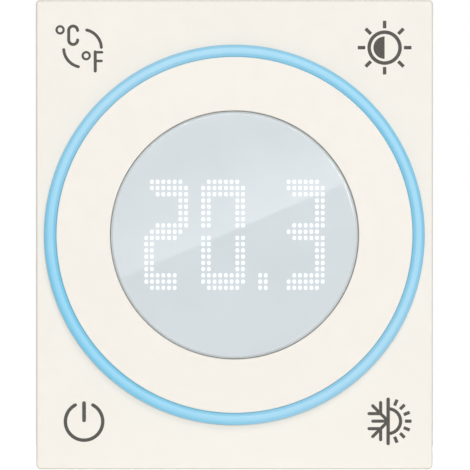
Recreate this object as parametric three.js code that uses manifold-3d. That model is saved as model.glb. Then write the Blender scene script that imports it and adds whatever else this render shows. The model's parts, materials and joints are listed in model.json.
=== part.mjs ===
// Wall thermostat: a two-module insert with a free-turning dial, a light ring and a round display.
// X points right, Z up and Y into the wall. The origin is the centre of the mounting shoulder's plane,
// so everything in front of the shoulder has a negative Y. Lengths are in millimetres.

import * as THREE from 'three';
import { mergeVertices } from 'three/addons/utils/BufferGeometryUtils.js';
import Module from 'manifold-3d';

const wasm = await Module();
wasm.setup();

// ---------------------------------------------------------------- driving dimensions

const moduleWidth = 22.4;
const headWidth = 2 * moduleWidth;
const headHeight = 53;
const headFront = -8.8;            // front face of the cream plate
const coverWall = 1.4;
const cornerRadius = 0.5;
const gap = 0.05;                  // between pieces that touch
const running = 0.07;              // radial play of the turning parts
const overlap = 0.5;               // reach of a joined solid into its neighbour
const past = 1;                    // reach of a cutting tool past the surface

const bodyWidth = 43;
const bodyHeight = 44.4;
const bodyBack = 31;
const bodyWall = 1.4;
const bodyCorner = 1;
const neckDepth = 5;
const innerBack = bodyBack - bodyWall;
const neckInnerWidth = bodyWidth - 2 * bodyWall;
const neckInnerHeight = bodyHeight - 2 * bodyWall;

const shoulderThickness = 1.5;
const boardFront = -3.2;           // the board in the head
const boardBack = -2.2;
const componentSeat = boardFront - gap;

const dialFront = -9.6;            // front face of the turning annulus
const faceThickness = 0.5;
const collarWall = 0.8;            // collar of the face round the window
const windowRadius = 14.1;         // inner edge of the annulus
const ringInner = 20.1;
const ringOuter = 21.5;
const ringCrest = dialFront - 0.15;
const skirtInner = 17.4;
const skirtOuter = 18.3;
const apertureRadius = 18.7;       // round opening of the cover
const recessRadius = 20.8;         // shallow recess round the opening, hidden by the opal ring
const recessDepth = 0.4;
const carrierFront = -7.3;         // seat of the face and the ring on the carrier

const hubRadius = 13.2;
const hubFront = -8.15;            // seat of the lens
const hubInner = 12.2;
const panelRadius = hubInner - 0.1;
const panelSeat = -7;              // ledge that carries the display panel
const diffuserBack = -7.8;

const gearModule = 0.6;
const pressureAngle = THREE.MathUtils.degToRad(25);
const dialTeeth = 50;
const pinionTeeth = 12;
const gearBacklash = 0.1;
const gearFront = -5.2;
const gearBack = -3.8;
const pinionDrop = gearModule * (dialTeeth + pinionTeeth) / 2;

const encoderBossRadius = 2;
const spindleRadius = 1;

const mainBoardFront = 20.4;
const mainBoardBack = 22;
const mainBoardSeat = mainBoardFront - gap;

const pinPitch = 2.54;
const pinPlaces = [-2.5, -1.5, -0.5, 0.5, 1.5, 2.5].map((place) => place * pinPitch);
const displayHeaderZ = 5;
const boardHeaderZ = 17;

const terminalPitch = 9;
const terminalY = 26.4;
const screwTop = 21.8;
const screwHeadHeight = 1.4;
const screwHeadRadius = 1.9;
const screwShankRadius = 1.25;
const contactTop = 16.5;
const contactThickness = 0.9;
const cageBottom = 11.6;           // cage fully open; it rises 2.4 mm
const cageHeight = 6.2;
const cageWidth = 6;
const cageDepth = 5.2;
const wireHoleRadius = 1.8;

const columnX = 18.6;              // the four long housing screws
const columnZ = 19.3;
const columnRadius = 3;
const wellBottom = 12;             // seat of the screw heads
const screwBottom = 1.3;           // tip of the housing screws

const touchX = 17.1;               // centres of the four touch symbols
const touchZ = 21.1;

const roundSteps = 48;
const halfTurn = Math.PI;
const quarterTurn = Math.PI / 2;

// ---------------------------------------------------------------- geometry helpers

// A closed mesh as a solid that can be joined and cut.
function solid(geometry) {
  const bare = geometry.clone();
  bare.deleteAttribute('normal');
  bare.deleteAttribute('uv');
  const merged = mergeVertices(bare);
  const corners = merged.index.array;
  const triangles = [];
  for (let i = 0; i < corners.length; i += 3) {
    const [a, b, c] = corners.slice(i, i + 3);
    if (a !== b && b !== c && c !== a) triangles.push(a, b, c);
  }
  return new wasm.Manifold(new wasm.Mesh({
    numProp: 3,
    vertProperties: Float32Array.from(merged.attributes.position.array),
    triVerts: Uint32Array.from(triangles),
  }));
}

function geometryOf(manifold) {
  const mesh = manifold.getMesh();
  const geometry = new THREE.BufferGeometry();
  geometry.setAttribute('position', new THREE.BufferAttribute(mesh.vertProperties, 3));
  geometry.setIndex(new THREE.BufferAttribute(mesh.triVerts, 1));
  return geometry;
}

// One body: the first geometry, with more joined on and others cut away.
function shaped(base, { joined = [], cut = [] }) {
  let result = solid(base);
  for (const piece of joined) result = result.add(solid(piece));
  for (const tool of cut) result = result.subtract(solid(tool));
  return geometryOf(result);
}

// A ring or disc turned about the Y axis from a profile of [radius, y] points.
function turned(profile, steps = roundSteps) {
  const points = profile.map(([radius, y]) => new THREE.Vector2(radius, y));
  if (THREE.ShapeUtils.area(points) < 0) points.reverse();
  const onAxis = points[0].x === 0 && points.at(-1).x === 0;
  if (!onAxis) points.push(points[0].clone());
  return new THREE.LatheGeometry(points, steps);
}

function tube(inner, outer, front, back, steps = roundSteps) {
  return turned([[inner, front], [outer, front], [outer, back], [inner, back]], steps);
}

function disc(radius, front, back, steps = roundSteps) {
  return turned([[0, front], [radius, front], [radius, back], [0, back]], steps);
}

// A flat outline in X and Z made into a plate between two Y planes.
function plate(outline, front, back, curveSegments = 2) {
  const geometry = new THREE.ExtrudeGeometry(outline, {
    depth: back - front,
    bevelEnabled: false,
    curveSegments,
  });
  return geometry.rotateX(quarterTurn).translate(0, back, 0);
}

// A box between two corners.
function block([x0, y0, z0], [x1, y1, z1]) {
  const geometry = new THREE.BoxGeometry(x1 - x0, y1 - y0, z1 - z0);
  return geometry.translate((x0 + x1) / 2, (y0 + y1) / 2, (z0 + z1) / 2);
}

// A box of a given width in X and height in Z between two Y planes.
function brick(width, height, front, back, x = 0, z = 0) {
  return new THREE.BoxGeometry(width, back - front, height).translate(x, (front + back) / 2, z);
}

// A cylinder along Y, or along Z, between two planes.
function rodY(radius, x, z, front, back, steps = 16) {
  const geometry = new THREE.CylinderGeometry(radius, radius, back - front, steps);
  return geometry.translate(x, (front + back) / 2, z);
}

function rodZ(radius, x, y, low, high, steps = 16) {
  const geometry = new THREE.CylinderGeometry(radius, radius, high - low, steps);
  return geometry.rotateX(quarterTurn).translate(x, y, (low + high) / 2);
}

function roundedRectangle(width, height, radius) {
  const shape = new THREE.Shape();
  const [x, z] = [width / 2, height / 2];
  shape.moveTo(-x + radius, -z);
  shape.lineTo(x - radius, -z);
  shape.absarc(x - radius, -z + radius, radius, -quarterTurn, 0);
  shape.lineTo(x, z - radius);
  shape.absarc(x - radius, z - radius, radius, 0, quarterTurn);
  shape.lineTo(-x + radius, z);
  shape.absarc(-x + radius, z - radius, radius, quarterTurn, halfTurn);
  shape.lineTo(-x, -z + radius);
  shape.absarc(-x + radius, -z + radius, radius, halfTurn, halfTurn + quarterTurn);
  return shape;
}

function chamferedRectangle(width, height, chamfer) {
  const [x, z] = [width / 2, height / 2];
  return new THREE.Shape([
    new THREE.Vector2(-x + chamfer, -z), new THREE.Vector2(x - chamfer, -z),
    new THREE.Vector2(x, -z + chamfer), new THREE.Vector2(x, z - chamfer),
    new THREE.Vector2(x - chamfer, z), new THREE.Vector2(-x + chamfer, z),
    new THREE.Vector2(-x, z - chamfer), new THREE.Vector2(-x, -z + chamfer),
  ]);
}

// A rectangular frame: an outer outline with a rectangular hole in it.
function frameOutline(outer, holeWidth, holeHeight) {
  const [x, z] = [holeWidth / 2, holeHeight / 2];
  outer.holes.push(new THREE.Path([
    new THREE.Vector2(-x, -z), new THREE.Vector2(-x, z),
    new THREE.Vector2(x, z), new THREE.Vector2(x, -z),
  ]));
  return outer;
}

// Both signs of a distance, for what is repeated left and right or top and bottom.
const bothSides = [-1, 1];

function atFourCorners(x, z, make) {
  return bothSides.flatMap((side) => bothSides.map((end) => make(side * x, end * z)));
}

// Outline of an involute spur gear in the X-Z plane, one tooth centred on the start angle.
function gearOutline(teeth, startAngle, flankSteps) {
  const pitch = gearModule * teeth / 2;
  const base = pitch * Math.cos(pressureAngle);
  const root = pitch - 1.25 * gearModule;
  const tip = pitch + 0.95 * gearModule;
  const involute = (radius) => {
    const angle = Math.acos(Math.min(1, base / radius));
    return Math.tan(angle) - angle;
  };
  const halfTooth = quarterTurn / teeth - gearBacklash / 4 / pitch + involute(pitch);
  const flankStart = Math.max(root, base);
  const points = [];
  for (let tooth = 0; tooth < teeth; tooth += 1) {
    const centre = startAngle + tooth * 2 * halfTurn / teeth;
    const flank = [];
    if (root < base) flank.push([root, halfTooth]);
    for (let step = 0; step <= flankSteps; step += 1) {
      const radius = flankStart + (tip - flankStart) * step / flankSteps;
      flank.push([radius, halfTooth - involute(radius)]);
    }
    const rising = flank.map(([radius, offset]) => [radius, centre - offset]);
    const falling = flank.map(([radius, offset]) => [radius, centre + offset]).reverse();
    for (const [radius, angle] of [...rising, ...falling]) {
      points.push(new THREE.Vector2(radius * Math.cos(angle), radius * Math.sin(angle)));
    }
  }
  return new THREE.Shape(points);
}

// ---------------------------------------------------------------- head: cover and dial

// Five vents in the top and in the bottom wall of the cover.
function coverVents() {
  const [width, pitch] = [4.4, 6.4];
  const [front, back] = [-5.2, -4.2];
  return [-2, -1, 0, 1, 2].flatMap((place) => bothSides.map((end) => brick(
    width, 2 * coverWall + past, front, back, place * pitch, end * headHeight / 2)));
}

function frontCover() {
  const outline = () => roundedRectangle(headWidth, headHeight, cornerRadius);
  const rim = frameOutline(outline(), headWidth - 2 * coverWall, headHeight - 2 * coverWall);
  const faceBack = headFront + coverWall;
  return shaped(plate(outline(), headFront, faceBack), {
    joined: [plate(rim, faceBack - gap, -shoulderThickness)],
    cut: [
      disc(apertureRadius, headFront - past, faceBack + past),
      disc(recessRadius, headFront - past, headFront + recessDepth),
      ...coverVents(),
    ],
  });
}

function dialFace() {
  const collarOuter = windowRadius + collarWall;
  const faceOuter = ringInner - gap;
  const faceBack = dialFront + faceThickness;
  const collarBack = carrierFront - gap;
  return turned([
    [windowRadius, dialFront], [faceOuter, dialFront], [faceOuter, faceBack],
    [collarOuter, faceBack], [collarOuter, collarBack], [windowRadius, collarBack],
  ]);
}

// The opal ring: a raised bead with rounded shoulders, a web behind the face and a skirt to the lamps.
function dialLightRing() {
  const webInner = windowRadius + collarWall + gap;
  const webOuter = recessRadius - 0.2;
  const webFront = dialFront + faceThickness + gap;
  const webBack = headFront + recessDepth - 0.2;
  const beadBack = headFront - 0.2;
  const skirtBack = -5.6;
  const shoulder = 0.45;
  const arcSteps = 3;
  const arc = Array.from({ length: arcSteps + 1 }, (_, step) => {
    const angle = quarterTurn * step / arcSteps;
    return [shoulder * (1 - Math.cos(angle)), shoulder * (1 - Math.sin(angle))];
  });
  const innerShoulder = arc.map(([across, down]) => [ringInner + across, ringCrest + down]);
  const outerShoulder = arc.map(([across, down]) => [ringOuter - across, ringCrest + down]).reverse();
  return turned([
    [webInner, webFront], [ringInner, webFront], ...innerShoulder, ...outerShoulder,
    [ringOuter, beadBack], [webOuter, beadBack], [webOuter, webBack], [skirtOuter, webBack],
    [skirtOuter, skirtBack], [skirtInner, skirtBack],
    [skirtInner, carrierFront - gap], [webInner, carrierFront - gap],
  ]);
}

// The sleeve that turns on the hub, with a flange for face and ring and gear teeth at its back end.
function dialCarrier() {
  const bearing = hubRadius + running;
  const flangeRadius = skirtInner - 0.1;
  const flangeBack = -6.6;
  const sleeveBack = -3.75;
  const neckRadius = gearModule * dialTeeth / 2 - 1.25 * gearModule;
  const sleeve = turned([
    [bearing, carrierFront], [flangeRadius, carrierFront], [flangeRadius, flangeBack],
    [neckRadius, flangeBack], [neckRadius, sleeveBack], [bearing, sleeveBack],
  ]);
  const teeth = gearOutline(dialTeeth, -quarterTurn, 2);
  teeth.holes.push(new THREE.Path().absarc(0, 0, bearing + 0.4, 0, 2 * halfTurn, true));
  return shaped(sleeve, { joined: [plate(teeth, gearFront, gearBack, 12)] });
}

// The ring the carrier runs against, between its gear and the board.
function dialGlideRing() {
  return tube(hubRadius + 0.1, 14.3, -3.7, componentSeat, 36);
}

// The fixed hub: a lip that keeps the carrier on, a seat for the lens and a ledge for the panel.
function displayHub() {
  const lipRadius = 13.9;
  const lipBack = -7.4;
  const ledgeInner = 11.4;
  const ledgeBack = -6.4;
  const footInner = 10.8;
  const footFront = -4.05;
  return turned([
    [hubInner, hubFront], [lipRadius, hubFront], [lipRadius, lipBack], [hubRadius, lipBack],
    [hubRadius, componentSeat], [footInner, componentSeat], [footInner, footFront],
    [hubInner, footFront], [hubInner, ledgeBack], [ledgeInner, ledgeBack],
    [ledgeInner, panelSeat], [hubInner, panelSeat],
  ]);
}

function displayLens() {
  const radius = windowRadius - running;
  const front = dialFront + 0.4;
  const back = hubFront - gap;
  const bevel = 0.25;
  return turned([
    [0, front], [radius - bevel, front], [radius, front + bevel], [radius, back], [0, back],
  ]);
}

function displayDiffuser() {
  return disc(panelRadius, hubFront + gap, diffuserBack);
}

function displayPanel() {
  return disc(panelRadius, diffuserBack + gap, panelSeat - gap);
}

// ---------------------------------------------------------------- head: electronics

function displayHeader() {
  const bodyFront = -5.8;
  const pinFront = -6.95;
  const pinSize = 0.6;
  const body = brick(14.8, 2.4, bodyFront, componentSeat, 0, displayHeaderZ);
  const pins = pinPlaces.map((x) => brick(
    pinSize, pinSize, pinFront, bodyFront + overlap, x, displayHeaderZ));
  return shaped(body, { joined: pins });
}

function frontBoard() {
  const board = plate(chamferedRectangle(39.2, 47.4, 1), boardFront, boardBack);
  const holeRadius = encoderBossRadius + 0.2;
  const bossHole = rodY(holeRadius, 0, -pinionDrop, boardFront - past, boardBack + past, 20);
  return shaped(board, { cut: [bossHole] });
}

// A coil of flat-sided wire standing between the board and the back of the cover.
function touchSpring() {
  const turns = 3;
  const stepsPerTurn = 9;
  const wire = 0.32;
  const coilRadius = 2.2;
  const low = componentSeat - wire / 2;
  const high = headFront + coverWall + gap + wire / 2;
  class Coil extends THREE.Curve {
    getPoint(t, target = new THREE.Vector3()) {
      const angle = t * turns * 2 * halfTurn;
      const y = THREE.MathUtils.lerp(low, high, t);
      return target.set(coilRadius * Math.cos(angle), y, coilRadius * Math.sin(angle));
    }
  }
  const half = wire / 2;
  const section = new THREE.Shape([
    new THREE.Vector2(-half, -half), new THREE.Vector2(half, -half),
    new THREE.Vector2(half, half), new THREE.Vector2(-half, half),
  ]);
  return new THREE.ExtrudeGeometry(section, { steps: turns * stepsPerTurn, extrudePath: new Coil() });
}

function ringLamp() {
  return brick(1.4, 1.4, -4, componentSeat);
}

function processorChip() {
  return brick(7, 7, -4.1, componentSeat);
}

function radioModule() {
  const substrateFront = -4;
  const canFront = -5.2;
  const substrate = brick(15, 4.2, substrateFront, componentSeat);
  const can = brick(10.8, 3.6, canFront, substrateFront + gap, 1.8);
  return shaped(substrate, { joined: [can] });
}

function temperatureSensor() {
  const beadRadius = 0.9;
  const beadY = -5.4;
  const legSpacing = 1;
  const legSize = 0.3;
  const bead = new THREE.SphereGeometry(beadRadius, 10, 8).translate(0, beadY, 0);
  const legs = bothSides.map((side) => brick(
    legSize, legSize, beadY + 0.2, componentSeat, side * legSpacing / 2));
  return shaped(bead, { joined: legs });
}

// A hollow-shaft encoder behind the board; its boss passes through the board to the pinion.
function encoderBody() {
  const size = 9;
  const back = -0.1;
  const bossFront = -3.7;
  const front = boardBack + gap;
  return shaped(brick(size, size, front, back), {
    joined: [rodY(encoderBossRadius, 0, 0, bossFront, front + past, 20)],
    cut: [rodY(spindleRadius + running, 0, 0, bossFront - past, back - 0.3, 20)],
  });
}

function encoderPinion() {
  const toothOpposite = quarterTurn + halfTurn / pinionTeeth;
  const outline = gearOutline(pinionTeeth, toothOpposite, 4);
  const spindle = rodY(spindleRadius, 0, 0, gearFront, -0.6, 20);
  return shaped(plate(outline, gearFront + 0.1, gearBack - 0.1), { joined: [spindle] });
}

// ---------------------------------------------------------------- body: chassis and housing

// One snap latch on the neck: a flat catch towards the shoulder and a ramp behind it.
function latch(x, z, width) {
  const catchDepth = 2.1;
  const catchHeight = 1.1;
  const land = 0.7;
  const out = Math.sign(z);
  const root = z - out * overlap;
  const top = z + out * catchHeight;
  const wedge = new THREE.Shape([
    new THREE.Vector2(catchDepth, root), new THREE.Vector2(catchDepth, top),
    new THREE.Vector2(catchDepth + land, top), new THREE.Vector2(neckDepth, root),
  ]);
  const geometry = new THREE.ExtrudeGeometry(wedge, { depth: width, bevelEnabled: false });
  const yzxToXyz = new THREE.Matrix4().set(
    0, 0, 1, x - width / 2,
    1, 0, 0, 0,
    0, 1, 0, 0,
    0, 0, 0, 1);
  return geometry.applyMatrix4(yzxToXyz);
}

// The frame behind the cover: shoulder, locating rim, neck, screw bosses and snap latches.
function chassis() {
  const trim = 0.4;
  const shoulderOutline = roundedRectangle(headWidth - trim, headHeight - trim, cornerRadius);
  const shoulder = plate(shoulderOutline, -shoulderThickness, 0);

  const rimFront = -3;
  const rimWall = 1;
  const rimWidth = headWidth - 2 * coverWall - 0.3;
  const rimHeight = headHeight - 2 * coverWall - 0.3;
  const rimOutline = frameOutline(
    chamferedRectangle(rimWidth, rimHeight, 0.6), rimWidth - 2 * rimWall, rimHeight - 2 * rimWall);
  const rim = plate(rimOutline, rimFront, -shoulderThickness + gap);

  const neckOutline = frameOutline(
    roundedRectangle(bodyWidth, bodyHeight, bodyCorner), neckInnerWidth, neckInnerHeight);
  const neck = plate(neckOutline, -gap, neckDepth);

  const [postX, postZ, postRadius] = [13, 15.5, 1.6];
  const posts = atFourCorners(postX, postZ, (x, z) => rodY(
    postRadius, x, z, boardBack + gap, -shoulderThickness + overlap, 12));
  const bosses = atFourCorners(columnX, columnZ, (x, z) => rodY(2.6, x, z, -overlap, neckDepth));
  const pilots = atFourCorners(columnX, columnZ, (x, z) => rodY(
    1.1, x, z, screwBottom - 0.3, neckDepth + past, 12));

  const latchX = 8.5;
  const latchWidth = 7;
  const slotWidth = 0.8;
  const slotFront = 0.8;
  const latches = atFourCorners(latchX, bodyHeight / 2, (x, z) => latch(x, z, latchWidth));
  const latchSlots = atFourCorners(latchX, bodyHeight / 2, (x, z) => bothSides.map((side) => brick(
    slotWidth, 6, slotFront, neckDepth + past, x + side * (latchWidth + slotWidth) / 2, z)));

  const encoderWindow = brick(10, 10, -shoulderThickness - overlap, 0, 0, -pinionDrop);
  const headerSlot = brick(16.8, 3.6, -shoulderThickness - overlap, past, 0, boardHeaderZ);
  return shaped(shoulder, {
    joined: [rim, neck, ...posts, ...bosses, ...latches],
    cut: [...pilots, ...latchSlots.flat(), encoderWindow, headerSlot],
  });
}

function terminalPlaces() {
  return [-1, 0, 1].map((place) => place * terminalPitch);
}

// What is cut from the housing for one terminal: cage chamber, screwdriver hole and wire entry.
function terminalCuts(x, end) {
  const chamberWidth = cageWidth + 0.6;
  const [chamberInner, chamberOuter] = [11.2, 20.3];
  const chamber = brick(chamberWidth, chamberOuter - chamberInner, mainBoardBack, innerBack,
    x, end * (chamberInner + chamberOuter) / 2);
  const reach = [end * (chamberOuter - overlap), end * (bodyHeight / 2 + past)];
  const driverHole = rodZ(
    screwHeadRadius + 0.2, x, terminalY, Math.min(...reach), Math.max(...reach));
  const wireZ = end * (cageBottom + 2.5);
  const wireEntry = rodY(wireHoleRadius, x, wireZ, innerBack - overlap, bodyBack + past);
  return [chamber, driverHole, wireEntry];
}

// Five vents in each side wall of the housing.
function housingVents() {
  const [height, width, pitch] = [14, 1, 2.6];
  const middle = 12;
  return bothSides.flatMap((side) => [-2, -1, 0, 1, 2].map((place) => {
    const y = middle + place * pitch;
    return brick(4, height, y - width / 2, y + width / 2, side * bodyWidth / 2);
  }));
}

// The deep box behind the chassis, with two banks of terminal chambers and four screw columns.
function rearHousing() {
  const front = neckDepth + gap;
  const outline = () => roundedRectangle(bodyWidth, bodyHeight, bodyCorner);
  const walls = plate(
    frameOutline(outline(), neckInnerWidth, neckInnerHeight), front, bodyBack - overlap);
  const floor = plate(outline(), innerBack, bodyBack);
  const columns = atFourCorners(columnX, columnZ, (x, z) => rodY(
    columnRadius - 0.1, x, z, front, bodyBack - overlap, 20));

  const bankWidth = 2 * terminalPitch + 10.4;
  const [bankInner, bankOuter] = [10.4, bodyHeight / 2 - overlap];
  const terminalBanks = bothSides.map((end) => brick(
    bankWidth, bankOuter - bankInner, mainBoardBack + 0.4, innerBack + overlap,
    0, end * (bankInner + bankOuter) / 2));
  const [restInner, restOuter] = [18.4, bodyWidth / 2 - overlap];
  const boardRests = bothSides.map((side) => brick(
    restOuter - restInner, 16, mainBoardBack + gap, innerBack + overlap,
    side * (restInner + restOuter) / 2));

  const terminals = bothSides.flatMap((end) => terminalPlaces().flatMap((x) => terminalCuts(x, end)));
  const screwPassages = atFourCorners(columnX, columnZ, (x, z) => rodY(
    1.3, x, z, front - past, bodyBack, 12));
  const screwWells = atFourCorners(columnX, columnZ, (x, z) => rodY(
    2.15, x, z, wellBottom, bodyBack + past));
  return shaped(walls, {
    joined: [floor, ...columns, ...terminalBanks, ...boardRests],
    cut: [...terminals, ...screwPassages, ...screwWells, ...housingVents()],
  });
}

// Crossed slots for a screwdriver in the X-Z plane, between two Y planes.
function crossSlots(length, width, front, back) {
  return [brick(length, width, front, back), brick(width, length, front, back)];
}

// Long self-tapping screw: pan head at the bottom of its well, shank into the chassis boss.
function housingScrew() {
  const seat = wellBottom + gap;
  const headRadius = 1.9;
  const crownRadius = 1.3;
  const edge = seat + 0.7;
  const top = seat + 1.3;
  const head = turned(
    [[0, seat], [headRadius, seat], [headRadius, edge], [crownRadius, top], [0, top]], 14);
  const shank = rodY(1, 0, 0, screwBottom, seat + overlap, 10);
  return shaped(head, { joined: [shank], cut: crossSlots(2.2, 0.5, top - 0.6, top + past) });
}

// ---------------------------------------------------------------- body: electronics

function mainBoard() {
  const board = plate(chamferedRectangle(39.6, 41, 0.6), mainBoardFront, mainBoardBack);
  const notch = 2 * (columnRadius + 0.4);
  const notches = atFourCorners(columnX, columnZ, (x, z) => brick(
    notch, notch, mainBoardFront - past, mainBoardBack + past, x, z));
  return shaped(board, { cut: notches });
}

// The connector between the two boards; its pins reach forward to the board in the head.
function boardHeader() {
  const bodyFront = mainBoardFront - 2.5;
  const pinSize = 0.64;
  const body = brick(15.8, 2.4, bodyFront, mainBoardSeat, 0, boardHeaderZ);
  const pins = pinPlaces.map((x) => brick(
    pinSize, pinSize, boardBack + gap, bodyFront + overlap, x, boardHeaderZ));
  return shaped(body, { joined: pins });
}

function relay() {
  return plate(chamferedRectangle(19, 10, 0.5), 5, mainBoardSeat);
}

function transformer() {
  const [coreFront, bobbinFront] = [7.4, 8.4];
  const coreBack = mainBoardFront - 1.4;
  const bobbin = brick(16, 10, bobbinFront, mainBoardSeat);
  return shaped(bobbin, { joined: [brick(12, 14.8, coreFront, coreBack)] });
}

// An upright can on the main board, with its front edge chamfered.
function can(radius, front, chamfer, steps) {
  return turned([
    [0, front], [radius - chamfer, front], [radius, front + chamfer],
    [radius, mainBoardSeat], [0, mainBoardSeat],
  ], steps);
}

function varistor() {
  const [radius, thickness] = [3.6, 1.8];
  const centreY = 14.2;
  const legSpacing = 4;
  const legSize = 0.6;
  const disk = new THREE.CylinderGeometry(radius, radius, thickness, 18)
    .rotateZ(quarterTurn)
    .translate(0, centreY, 0);
  const legs = bothSides.map((side) => brick(
    legSize, legSize, centreY, mainBoardSeat, 0, side * legSpacing / 2));
  return shaped(disk, { joined: legs });
}

// ---------------------------------------------------------------- rising-cage terminals (upper bank)

function terminalScrew() {
  const headBottom = screwTop - screwHeadHeight;
  const [slotLength, slotWidth, slotDepth] = [3, 0.5, 0.7];
  const head = rodZ(screwHeadRadius, 0, terminalY, headBottom, screwTop);
  const shank = rodZ(screwShankRadius, 0, terminalY, contactTop + gap, headBottom + overlap);
  const slots = [[slotLength, slotWidth], [slotWidth, slotLength]].map(([across, deep]) => block(
    [-across / 2, terminalY - deep / 2, screwTop - slotDepth],
    [across / 2, terminalY + deep / 2, screwTop + past]));
  return shaped(head, { joined: [shank], cut: slots });
}

function terminalCage() {
  const side = 0.8;
  const floor = 1;
  const roof = 1.2;
  const threadPlay = 0.09;
  const [halfWidth, halfDepth] = [cageWidth / 2, cageDepth / 2];
  const cageTop = cageBottom + cageHeight;
  const outer = block([-halfWidth, terminalY - halfDepth, cageBottom],
    [halfWidth, terminalY + halfDepth, cageTop]);
  const mouth = block([-halfWidth + side, terminalY - halfDepth - past, cageBottom + floor],
    [halfWidth - side, terminalY + halfDepth + past, cageTop - roof]);
  const thread = rodZ(
    screwShankRadius + threadPlay, 0, terminalY, cageTop - roof - past, cageTop + past);
  return shaped(outer, { cut: [mouth, thread] });
}

// The fixed bar a wire is clamped against, with grooves across its underside.
function terminalContact() {
  const low = contactTop - contactThickness;
  const [grooveWidth, grooveDepth, groovePitch] = [0.3, 0.2, 1.2];
  const halfBar = 2.1;
  const bar = block([-halfBar, mainBoardBack + gap, low], [halfBar, innerBack - gap, contactTop]);
  const grooves = [-1, 0, 1].map((place) => {
    const y = terminalY + place * groovePitch;
    return block([-halfBar - past, y - grooveWidth / 2, low - past],
      [halfBar + past, y + grooveWidth / 2, low + grooveDepth]);
  });
  return shaped(bar, { cut: grooves });
}

// ---------------------------------------------------------------- materials

const finishes = {
  cream: [0xf7f2e8, 0.6, 0],
  opal: [0xa5dcf6, 0.25, 0],
  smokedGlass: [0xdde4e8, 0.08, 0],
  whitePlastic: [0xe9e8e2, 0.5, 0],
  greyPlastic: [0xc9cac6, 0.55, 0],
  blackPlastic: [0x1c1d1f, 0.5, 0],
  acetal: [0xf2f1ec, 0.4, 0],
  circuitBoard: [0x1f5b3f, 0.45, 0],
  relayBlue: [0x2c62a8, 0.4, 0],
  steel: [0xb8bbbe, 0.35, 0.9],
  brass: [0xc8a353, 0.35, 0.9],
  silver: [0xd5d6d6, 0.3, 0.8],
  ferrite: [0x3a3b3d, 0.7, 0],
  amber: [0xc97a1e, 0.4, 0],
};

function finish(name) {
  const [color, roughness, metalness] = finishes[name];
  return new THREE.MeshStandardMaterial({ color, roughness, metalness });
}

// ---------------------------------------------------------------- assembly

const group = new THREE.Group();
group.name = 'wall_thermostat';

function place(name, geometry, finishName, { x = 0, z = 0, turn = 0, parent = group } = {}) {
  const mesh = new THREE.Mesh(geometry, finish(finishName));
  mesh.name = name;
  mesh.position.set(x, 0, z);
  mesh.rotation.y = turn;
  parent.add(mesh);
}

place('front_cover', frontCover(), 'cream');
place('dial_face', dialFace(), 'cream');
place('dial_light_ring', dialLightRing(), 'opal');
place('dial_carrier', dialCarrier(), 'acetal');
place('dial_glide_ring', dialGlideRing(), 'blackPlastic');
place('display_hub', displayHub(), 'whitePlastic');
place('display_lens', displayLens(), 'smokedGlass');
place('display_diffuser', displayDiffuser(), 'smokedGlass');
place('display_panel', displayPanel(), 'blackPlastic');
place('display_header', displayHeader(), 'blackPlastic');
place('front_board', frontBoard(), 'circuitBoard');
place('processor_chip', processorChip(), 'blackPlastic', { x: -3, z: -3.6 });
place('radio_module', radioModule(), 'silver', { z: 21.2 });
place('temperature_sensor', temperatureSensor(), 'amber', { x: 8, z: -22.2 });
place('encoder_body', encoderBody(), 'blackPlastic', { z: -pinionDrop });
place('encoder_pinion', encoderPinion(), 'acetal', { z: -pinionDrop });

atFourCorners(touchX, touchZ, (x, z) => [x, z]).forEach(([x, z], index) => {
  place(`touch_spring_${index + 1}`, touchSpring(), 'steel', { x, z });
});

const lampCount = 8;
const lampRadius = (skirtInner + skirtOuter) / 2;
for (let index = 0; index < lampCount; index += 1) {
  const lampArm = new THREE.Group();
  lampArm.rotation.y = (index + 0.5) * 2 * halfTurn / lampCount;
  group.add(lampArm);
  place(`ring_led_${index + 1}`, ringLamp(), 'silver', { x: lampRadius, parent: lampArm });
}

place('chassis', chassis(), 'whitePlastic');
place('rear_housing', rearHousing(), 'greyPlastic');
place('main_board', mainBoard(), 'circuitBoard');
place('board_header', boardHeader(), 'blackPlastic');
place('relay', relay(), 'relayBlue', { x: -7.5, z: 8.5 });
place('transformer', transformer(), 'ferrite', { x: 9, z: -7 });
place('capacitor', can(4, 9, 0.4, 18), 'blackPlastic', { x: 11, z: 8.5 });
place('fuse', can(2.1, 12.4, 0.3, 14), 'blackPlastic', { x: -12, z: -6 });
place('varistor', varistor(), 'relayBlue', { x: -5, z: -9 });

atFourCorners(columnX, columnZ, (x, z) => [x, z]).forEach(([x, z], index) => {
  place(`housing_screw_${index + 1}`, housingScrew(), 'steel', { x, z });
});

[0, halfTurn].forEach((turn, bank) => {
  terminalPlaces().forEach((across, position) => {
    const number = 3 * bank + position + 1;
    const where = { x: bank === 0 ? across : -across, turn };
    place(`terminal_screw_${number}`, terminalScrew(), 'steel', where);
    place(`terminal_cage_${number}`, terminalCage(), 'silver', where);
    place(`terminal_contact_${number}`, terminalContact(), 'brass', where);
  });
});

export default group;
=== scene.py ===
"""Wall thermostat: the visual model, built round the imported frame. Lengths are in metres."""
import json
import math

import bmesh
import bpy
from mathutils import Matrix, Vector


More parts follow.
